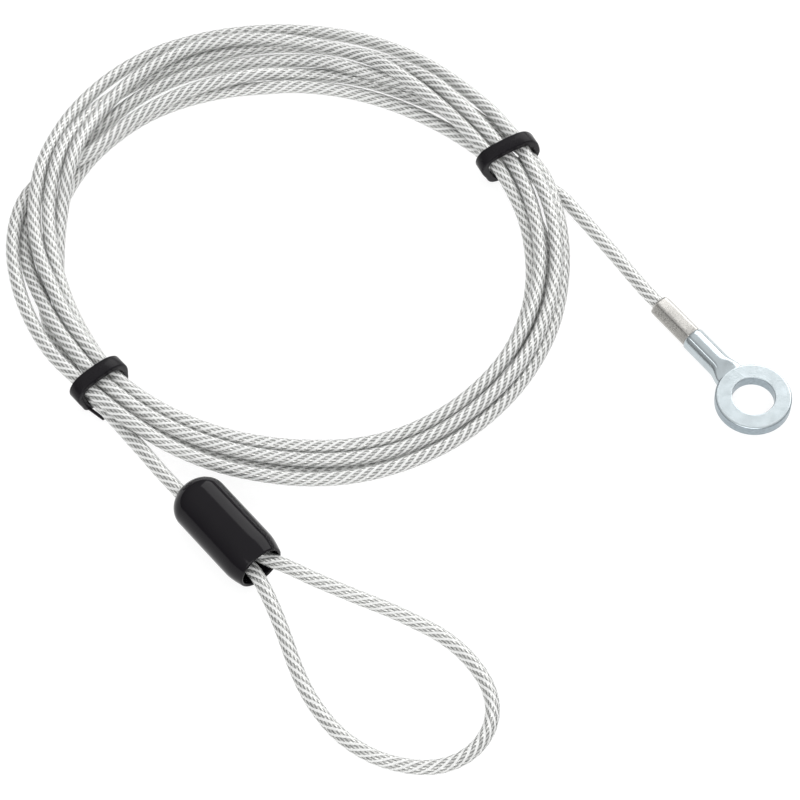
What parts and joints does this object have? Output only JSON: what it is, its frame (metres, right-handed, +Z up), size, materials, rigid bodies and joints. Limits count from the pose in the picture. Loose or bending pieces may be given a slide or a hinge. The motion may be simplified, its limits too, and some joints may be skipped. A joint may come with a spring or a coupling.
{
  "type": "security cable with loop and ring terminal",
  "caption": "Coiled security cable for a bicycle lock: clear-jacketed steel rope with a crimped ring terminal, and a loop closed by a ferrule under a sliding cover.",
  "frame": {"origin": "centre of the eyelet's bore, on the underside of its plate", "axes": "+Z up along the eyelet's bore, +X to the right and +Y away as the coil lies flat; the surface it lies on is 1.5 mm below the origin"},
  "size_m": [0.1925, 0.2145, 0.014],
  "materials": {
    "zinc_plate": "bright zinc plate with a faint blue tint",
    "crimped_steel": "hexagonal crimp, burnished on top and pitted on its flanks",
    "bare_rope": "galvanised steel wire rope",
    "jacketed_cable": "clear glossy jacket over galvanised seven-strand wire rope",
    "ferrule_metal": "plain pressed aluminium with die marks",
    "cover_plastic": "smooth glossy black moulding",
    "tie_plastic": "satin black moulding"
  },
  "bodies": {
    "cable": {"ring_terminal": "zinc_plate", "crimp_sleeve": "crimped_steel", "rope_end": "bare_rope", "terminal_lead": "jacketed_cable", "cable_coil": "jacketed_cable", "sleeve_lead": "jacketed_cable", "standing_run": "jacketed_cable", "tail_run": "jacketed_cable", "cable_loop": "jacketed_cable", "loop_ferrule": "ferrule_metal", "left_tie": "tie_plastic", "right_tie": "tie_plastic"},
    "cover": {"ferrule_cover": "cover_plastic"}
  },
  "joints": [
    {"name": "cover_slide", "type": "slide", "parent": "cable", "child": "cover", "axis": [-0.6428, 0.766, 0], "range_m": [0, 0.006]}
  ]
}
